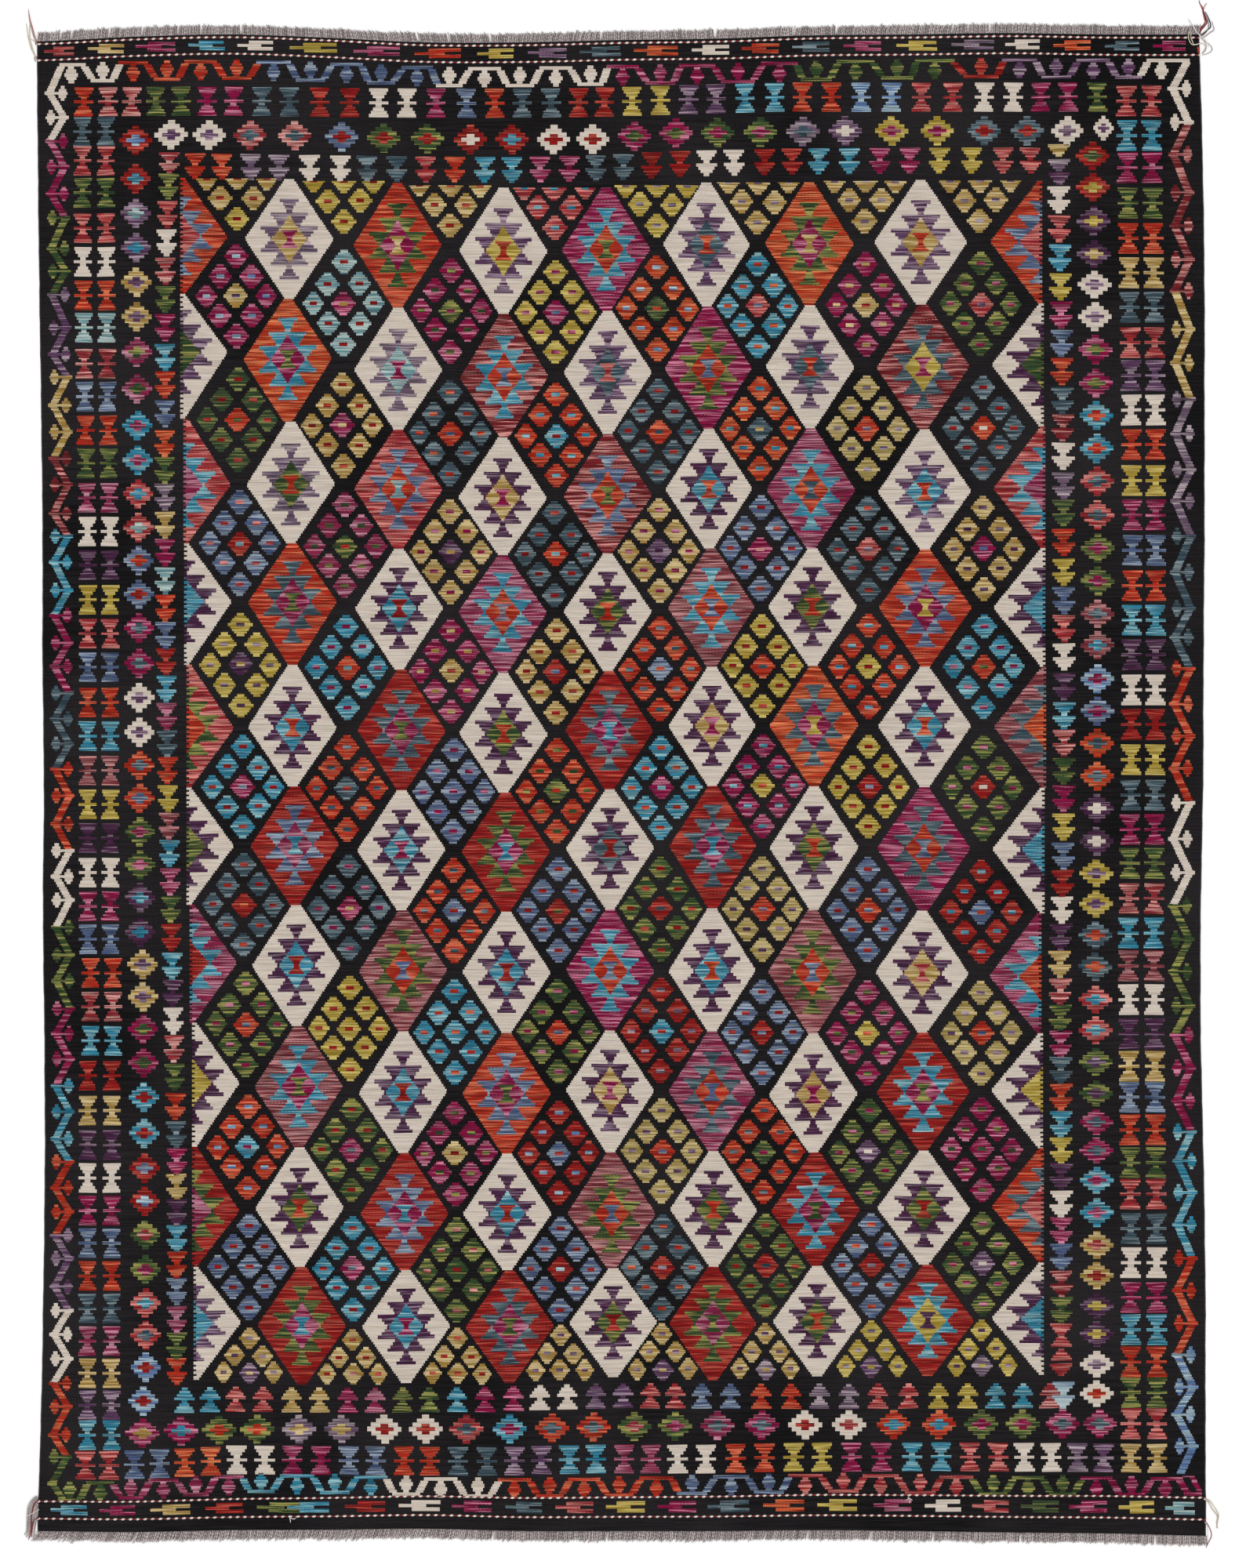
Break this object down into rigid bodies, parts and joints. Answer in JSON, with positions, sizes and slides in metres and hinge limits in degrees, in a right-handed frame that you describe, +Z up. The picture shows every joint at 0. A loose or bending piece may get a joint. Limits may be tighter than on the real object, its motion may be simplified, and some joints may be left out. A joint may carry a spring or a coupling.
{
  "type": "kilim rug",
  "caption": "Large flat-woven wool rug with a trimmed warp fringe at both ends, twined end rows and loose yarn ends, lying flat on a floor.",
  "frame": {"origin": "on the floor under the middle of the whole rug, fringe and loose yarn ends included", "axes": "+Z up, +Y along the rug to the end shown at the picture's top, +X across it to the picture's right"},
  "size_m": [2.5718, 3.321, 0.0044],
  "materials": {
    "ground_wool": "matt flat-woven wool, charcoal ground with motifs in many dyed yarns",
    "undyed_warp": "matt undyed grey-mauve plied wool warp",
    "twining_yarn": "matt red and white plied wool yarn"
  },
  "bodies": {
    "root": {"kilim_cloth": "ground_wool", "fringe_top": "undyed_warp", "fringe_bottom": "undyed_warp", "yarn_end_top_outer_left": "twining_yarn", "yarn_end_top_inner_left": "twining_yarn", "yarn_end_top_outer_right": "twining_yarn", "yarn_end_top_inner_right": "twining_yarn", "yarn_end_bottom_inner_left": "twining_yarn", "yarn_end_bottom_outer_left": "twining_yarn", "yarn_end_bottom_inner_right": "twining_yarn", "yarn_end_bottom_outer_right": "twining_yarn"}
  },
  "joints": []
}
